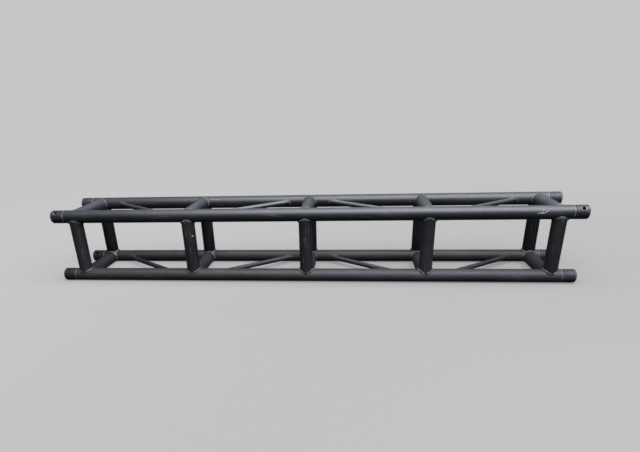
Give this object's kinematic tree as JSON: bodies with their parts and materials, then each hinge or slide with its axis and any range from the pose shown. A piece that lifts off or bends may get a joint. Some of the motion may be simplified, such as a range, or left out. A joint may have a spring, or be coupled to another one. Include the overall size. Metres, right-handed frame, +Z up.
{
  "type": "lighting truss section",
  "caption": "Straight square box truss section: long chord tubes held apart by welded frames, thin zigzag diagonals above and below, and a pinned socket in each chord end.",
  "frame": {"origin": "under the middle of the section, on the surface that it lies on", "axes": "+X along the section to the right as pictured, +Y to its back face, +Z up"},
  "size_m": [2, 0.29, 0.29],
  "materials": {
    "tube_paint": "satin",
    "receiver_paint": "satin",
    "diagonal_paint": "satin"
  },
  "bodies": {
    "root": {"chord_front_top": "tube_paint", "chord_front_bottom": "tube_paint", "chord_back_top": "tube_paint", "chord_back_bottom": "tube_paint", "receiver_left_front_top": "receiver_paint", "receiver_left_front_bottom": "receiver_paint", "receiver_left_back_top": "receiver_paint", "receiver_left_back_bottom": "receiver_paint", "receiver_right_front_top": "receiver_paint", "receiver_right_front_bottom": "receiver_paint", "receiver_right_back_top": "receiver_paint", "receiver_right_back_bottom": "receiver_paint", "upright_front_1": "tube_paint", "upright_front_2": "tube_paint", "upright_front_3": "tube_paint", "upright_front_4": "tube_paint", "upright_front_5": "tube_paint", "upright_back_1": "tube_paint", "upright_back_2": "tube_paint", "upright_back_3": "tube_paint", "upright_back_4": "tube_paint", "upright_back_5": "tube_paint", "cross_member_top_1": "tube_paint", "cross_member_top_2": "tube_paint", "cross_member_top_3": "tube_paint", "cross_member_top_4": "tube_paint", "cross_member_top_5": "tube_paint", "cross_member_bottom_1": "tube_paint", "cross_member_bottom_2": "tube_paint", "cross_member_bottom_3": "tube_paint", "cross_member_bottom_4": "tube_paint", "cross_member_bottom_5": "tube_paint", "diagonal_top_1": "diagonal_paint", "diagonal_top_2": "diagonal_paint", "diagonal_top_3": "diagonal_paint", "diagonal_top_4": "diagonal_paint", "diagonal_bottom_1": "diagonal_paint", "diagonal_bottom_2": "diagonal_paint", "diagonal_bottom_3": "diagonal_paint", "diagonal_bottom_4": "diagonal_paint"}
  },
  "joints": []
}
